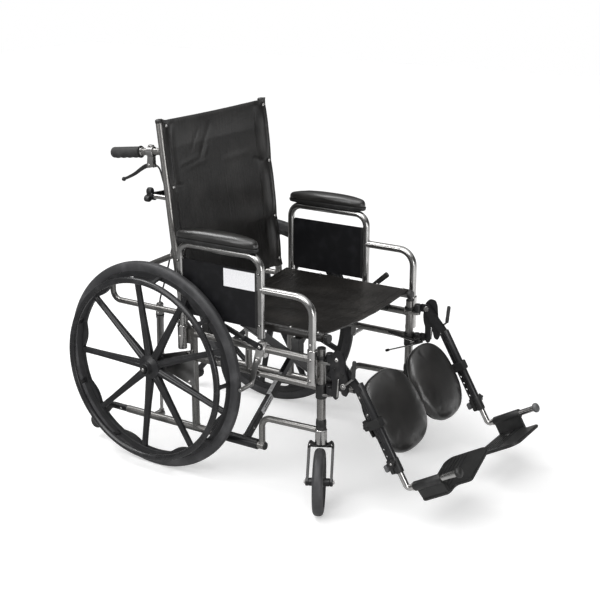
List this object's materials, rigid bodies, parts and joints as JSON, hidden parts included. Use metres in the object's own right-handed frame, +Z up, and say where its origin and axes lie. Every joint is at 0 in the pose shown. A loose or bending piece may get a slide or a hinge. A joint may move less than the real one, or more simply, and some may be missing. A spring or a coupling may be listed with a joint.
{
  "type": "reclining wheelchair",
  "caption": "Folding wheelchair with a reclining sling back, lift-out padded armrests, spoked rear wheels with handrims, swivel casters and elevating leg rests",
  "frame": {"origin": "on the floor under the middle of the chair's box, with the tyres standing at z = 0", "axes": "+Z up, the chair faces -Y, its left side is +X"},
  "size_m": [0.7528, 1.27, 1.0011],
  "materials": {
    "frame_steel": "satin silver vein paint over tube steel",
    "chrome": "bright plated steel",
    "zinc": "zinc-plated steel",
    "black_steel": "black painted steel",
    "black_plastic": "moulded black plastic",
    "panel": "smooth black plastic sheet",
    "rubber": "matt black rubber",
    "tyre": "solid black tyre",
    "vinyl": "black embossed vinyl upholstery",
    "cable": "grey plastic cable sheath"
  },
  "bodies": {
    "right_frame": {"side_frame_r": "frame_steel", "brake_base_r": "black_steel", "anti_tipper_r": "black_plastic"},
    "front_cross_arm": {"cross_arm_a": "black_steel"},
    "rear_cross_arm": {"cross_arm_b": "black_steel"},
    "left_frame": {"side_frame_l": "frame_steel", "brake_base_l": "black_steel", "anti_tipper_l": "black_plastic"},
    "seat": {"seat_sling": "vinyl"},
    "right_back": {"back_cane_r": "frame_steel", "push_grip_r": "rubber", "lever_bracket_r": "zinc", "recline_cable_r": "cable", "back_sling": "vinyl"},
    "right_gas_cylinder": {"gas_cylinder_r": "zinc"},
    "right_gas_rod": {"gas_rod_r": "chrome"},
    "right_recline_lever": {"recline_lever_r": "black_plastic"},
    "right_spreader_knob": {"spreader_knob_r": "black_plastic"},
    "right_armrest": {"armrest_tube_r": "chrome", "arm_pad_r": "vinyl", "side_panel_r": "panel"},
    "right_wheel": {"wheel_r": "black_plastic", "tyre_r": "tyre", "handrim_r": "black_plastic"},
    "right_caster_fork": {"caster_fork_r": "black_steel"},
    "right_caster_wheel": {"caster_wheel_r": "tyre"},
    "right_brake_lever": {"brake_lever_r": "black_steel"},
    "right_brake_shoe": {"brake_shoe_r": "zinc"},
    "right_leg_hanger": {"leg_hanger_r": "black_steel"},
    "right_leg_bar": {"leg_bar_r": "black_steel"},
    "right_foot_tube": {"foot_tube_r": "chrome"},
    "right_footplate": {"footplate_r": "black_plastic"},
    "right_calf_pad": {"calf_pad_r": "vinyl"},
    "right_leg_release": {"leg_release_r": "black_plastic"},
    "left_back": {"back_cane_l": "frame_steel", "push_grip_l": "rubber", "lever_bracket_l": "zinc", "recline_cable_l": "cable"},
    "left_gas_cylinder": {"gas_cylinder_l": "zinc"},
    "left_gas_rod": {"gas_rod_l": "chrome"},
    "left_recline_lever": {"recline_lever_l": "black_plastic"},
    "left_spreader_knob": {"spreader_knob_l": "black_plastic"},
    "left_armrest": {"armrest_tube_l": "chrome", "arm_pad_l": "vinyl", "side_panel_l": "panel"},
    "left_wheel": {"wheel_l": "black_plastic", "tyre_l": "tyre", "handrim_l": "black_plastic"},
    "left_caster_fork": {"caster_fork_l": "black_steel"},
    "left_caster_wheel": {"caster_wheel_l": "tyre"},
    "left_brake_lever": {"brake_lever_l": "black_steel"},
    "left_brake_shoe": {"brake_shoe_l": "zinc"},
    "left_leg_hanger": {"leg_hanger_l": "black_steel"},
    "left_leg_bar": {"leg_bar_l": "black_steel"},
    "left_foot_tube": {"foot_tube_l": "chrome"},
    "left_footplate": {"footplate_l": "black_plastic"},
    "left_calf_pad": {"calf_pad_l": "vinyl"},
    "left_leg_release": {"leg_release_l": "black_plastic"},
    "right_spreader": {"spreader_bar_r": "black_steel"},
    "left_spreader": {"spreader_bar_l": "black_steel"}
  },
  "joints": [
    {"name": "fold", "type": "hinge", "parent": "right_frame", "child": "front_cross_arm", "pos_m": [-0.2321, 0.06003, 0.118], "axis": [0, -1, 0], "range_deg": [0, 36], "deforming": ["seat_sling", "back_sling"]},
    {"name": "cross_pivot", "type": "hinge", "parent": "front_cross_arm", "child": "rear_cross_arm", "pos_m": [0.0154, 0.06003, 0.298], "axis": [0, -1, 0], "range_deg": [-72, 0]},
    {"name": "left_frame_pivot", "type": "hinge", "parent": "rear_cross_arm", "child": "left_frame", "pos_m": [0.2629, 0.06003, 0.118], "axis": [0, -1, 0], "range_deg": [0, 36]},
    {"name": "seat_edge", "type": "hinge", "parent": "rear_cross_arm", "child": "seat", "pos_m": [-0.2156, 0.06003, 0.466], "axis": [0, -1, 0], "range_deg": [0, 36]},
    {"name": "right_recline", "type": "hinge", "parent": "right_frame", "child": "right_back", "pos_m": [-0.2276, 0.26003, 0.44], "axis": [-1, 0, 0], "range_deg": [0, 70]},
    {"name": "right_gas_swing", "type": "hinge", "parent": "right_back", "child": "right_gas_cylinder", "pos_m": [-0.2026, 0.36703, 0.4565], "axis": [1, 0, 0], "range_deg": [0, 90]},
    {"name": "right_gas_stroke", "type": "slide", "parent": "right_gas_cylinder", "child": "right_gas_rod", "axis": [0, -0.0236, 0.9997], "range_m": [0, 0.13]},
    {"name": "right_recline_squeeze", "type": "hinge", "parent": "right_back", "child": "right_recline_lever", "pos_m": [-0.2276, 0.36303, 0.868], "axis": [1, 0, 0], "range_deg": [0, 18], "stiffness_Nm_per_rad": 0.3, "springref_deg": -11.46},
    {"name": "right_knob_turn", "type": "hinge", "parent": "right_back", "child": "right_spreader_knob", "pos_m": [-0.2276, 0.35503, 0.783], "axis": [0, 1, 0], "continuous": true},
    {"name": "right_armrest_lift", "type": "slide", "parent": "right_frame", "child": "right_armrest", "axis": [0, 0, 1], "range_m": [0, 0.18]},
    {"name": "right_wheel_spin", "type": "hinge", "parent": "right_frame", "child": "right_wheel", "pos_m": [-0.2876, 0.33003, 0.305], "axis": [1, 0, 0], "continuous": true},
    {"name": "right_caster_swivel", "type": "hinge", "parent": "right_frame", "child": "right_caster_fork", "pos_m": [-0.2321, -0.19997, 0.1], "axis": [0, 0, 1], "continuous": true},
    {"name": "right_caster_spin", "type": "hinge", "parent": "right_caster_fork", "child": "right_caster_wheel", "pos_m": [-0.29214, -0.2319, 0.09], "axis": [0.4695, -0.8829, 0], "continuous": true},
    {"name": "right_lock_lever", "type": "hinge", "parent": "right_frame", "child": "right_brake_lever", "pos_m": [-0.2468, -0.01297, 0.415], "axis": [1, 0, 0], "range_deg": [0, 120]},
    {"name": "right_lock_shoe", "type": "hinge", "parent": "right_frame", "child": "right_brake_shoe", "pos_m": [-0.2468, -0.00297, 0.374], "axis": [1, 0, 0], "range_deg": [-12, 0]},
    {"name": "right_leg_swing", "type": "hinge", "parent": "right_frame", "child": "right_leg_hanger", "pos_m": [-0.2321, -0.22597, 0.32], "axis": [0, 0, -1], "range_deg": [0, 80]},
    {"name": "right_leg_elevation", "type": "hinge", "parent": "right_leg_hanger", "child": "right_leg_bar", "pos_m": [-0.2346, -0.25297, 0.425], "axis": [-1, 0, 0], "range_deg": [0, 58]},
    {"name": "right_foot_slide", "type": "slide", "parent": "right_leg_bar", "child": "right_foot_tube", "axis": [0, -0.5, -0.866], "range_m": [-0.03, 0.05]},
    {"name": "right_footplate_flip", "type": "hinge", "parent": "right_foot_tube", "child": "right_footplate", "pos_m": [-0.2346, -0.48719, 0.12258], "axis": [0, -0.866, 0.5], "range_deg": [-13.6, 76.4]},
    {"name": "right_calf_pad_slide", "type": "slide", "parent": "right_leg_bar", "child": "right_calf_pad", "axis": [0, -0.5, -0.866], "range_m": [-0.035, 0.03]},
    {"name": "right_leg_release_pull", "type": "hinge", "parent": "right_leg_hanger", "child": "right_leg_release", "pos_m": [-0.2471, -0.28097, 0.36], "axis": [-1, 0, 0], "range_deg": [0, 20], "stiffness_Nm_per_rad": 0.2, "springref_deg": -11.46},
    {"name": "left_recline", "type": "hinge", "parent": "left_frame", "child": "left_back", "pos_m": [0.2584, 0.26003, 0.44], "axis": [-1, 0, 0], "range_deg": [0, 70]},
    {"name": "left_gas_swing", "type": "hinge", "parent": "left_back", "child": "left_gas_cylinder", "pos_m": [0.2334, 0.36703, 0.4565], "axis": [1, 0, 0], "range_deg": [0, 90]},
    {"name": "left_gas_stroke", "type": "slide", "parent": "left_gas_cylinder", "child": "left_gas_rod", "axis": [0, -0.0236, 0.9997], "range_m": [0, 0.13]},
    {"name": "left_recline_squeeze", "type": "hinge", "parent": "left_back", "child": "left_recline_lever", "pos_m": [0.2584, 0.36303, 0.868], "axis": [1, 0, 0], "range_deg": [0, 18], "stiffness_Nm_per_rad": 0.3, "springref_deg": -11.46},
    {"name": "left_knob_turn", "type": "hinge", "parent": "left_back", "child": "left_spreader_knob", "pos_m": [0.2584, 0.35503, 0.783], "axis": [0, 1, 0], "continuous": true},
    {"name": "left_armrest_lift", "type": "slide", "parent": "left_frame", "child": "left_armrest", "axis": [0, 0, 1], "range_m": [0, 0.18]},
    {"name": "left_wheel_spin", "type": "hinge", "parent": "left_frame", "child": "left_wheel", "pos_m": [0.3184, 0.33003, 0.305], "axis": [1, 0, 0], "continuous": true},
    {"name": "left_caster_swivel", "type": "hinge", "parent": "left_frame", "child": "left_caster_fork", "pos_m": [0.2629, -0.19997, 0.1], "axis": [0, 0, 1], "continuous": true},
    {"name": "left_caster_spin", "type": "hinge", "parent": "left_caster_fork", "child": "left_caster_wheel", "pos_m": [0.20286, -0.2319, 0.09], "axis": [0.4695, -0.8829, 0], "continuous": true},
    {"name": "left_lock_lever", "type": "hinge", "parent": "left_frame", "child": "left_brake_lever", "pos_m": [0.2776, -0.01297, 0.415], "axis": [1, 0, 0], "range_deg": [-120, 0]},
    {"name": "left_lock_shoe", "type": "hinge", "parent": "left_frame", "child": "left_brake_shoe", "pos_m": [0.2776, -0.00297, 0.374], "axis": [1, 0, 0], "range_deg": [0, 12]},
    {"name": "left_leg_swing", "type": "hinge", "parent": "left_frame", "child": "left_leg_hanger", "pos_m": [0.2629, -0.22597, 0.32], "axis": [0, 0, 1], "range_deg": [0, 80]},
    {"name": "left_leg_elevation", "type": "hinge", "parent": "left_leg_hanger", "child": "left_leg_bar", "pos_m": [0.2654, -0.25297, 0.425], "axis": [-1, 0, 0], "range_deg": [0, 58]},
    {"name": "left_foot_slide", "type": "slide", "parent": "left_leg_bar", "child": "left_foot_tube", "axis": [0, -0.5, -0.866], "range_m": [-0.03, 0.05]},
    {"name": "left_footplate_flip", "type": "hinge", "parent": "left_foot_tube", "child": "left_footplate", "pos_m": [0.2654, -0.48719, 0.12258], "axis": [0, 0.866, -0.5], "range_deg": [0, 90]},
    {"name": "left_calf_pad_slide", "type": "slide", "parent": "left_leg_bar", "child": "left_calf_pad", "axis": [0, -0.5, -0.866], "range_m": [-0.035, 0.03]},
    {"name": "left_leg_release_pull", "type": "hinge", "parent": "left_leg_hanger", "child": "left_leg_release", "pos_m": [0.2779, -0.28097, 0.36], "axis": [-1, 0, 0], "range_deg": [0, 20], "stiffness_Nm_per_rad": 0.2, "springref_deg": -11.46},
    {"name": "right_spreader_swing", "type": "hinge", "parent": "right_back", "child": "right_spreader", "pos_m": [-0.2276, 0.35503, 0.783], "axis": [0, 1, 0], "range_deg": [0, 81]},
    {"name": "left_spreader_swing", "type": "hinge", "parent": "left_back", "child": "left_spreader", "pos_m": [0.2584, 0.35503, 0.783], "axis": [0, -1, 0], "range_deg": [0, 81]}
  ],
  "couplings": [
    {"joint": "cross_pivot", "follows": "fold", "ratio": -2},
    {"joint": "left_frame_pivot", "follows": "fold", "ratio": 1},
    {"joint": "seat_edge", "follows": "fold", "ratio": 1},
    {"joint": "right_gas_swing", "follows": "right_recline", "ratio": 1.1391},
    {"joint": "right_gas_stroke", "follows": "right_recline", "m_per_rad": 0.0948},
    {"joint": "right_lock_shoe", "follows": "right_lock_lever", "ratio": -0.1},
    {"joint": "right_leg_swing", "follows": "fold", "ratio": 2},
    {"joint": "left_recline", "follows": "right_recline", "ratio": 1},
    {"joint": "left_gas_swing", "follows": "right_recline", "ratio": 1.1391},
    {"joint": "left_gas_stroke", "follows": "right_recline", "m_per_rad": 0.0948},
    {"joint": "left_lock_shoe", "follows": "left_lock_lever", "ratio": -0.1},
    {"joint": "left_leg_swing", "follows": "fold", "ratio": 2},
    {"joint": "right_spreader_swing", "follows": "fold", "ratio": 2.25},
    {"joint": "left_spreader_swing", "follows": "fold", "ratio": 2.25}
  ]
}
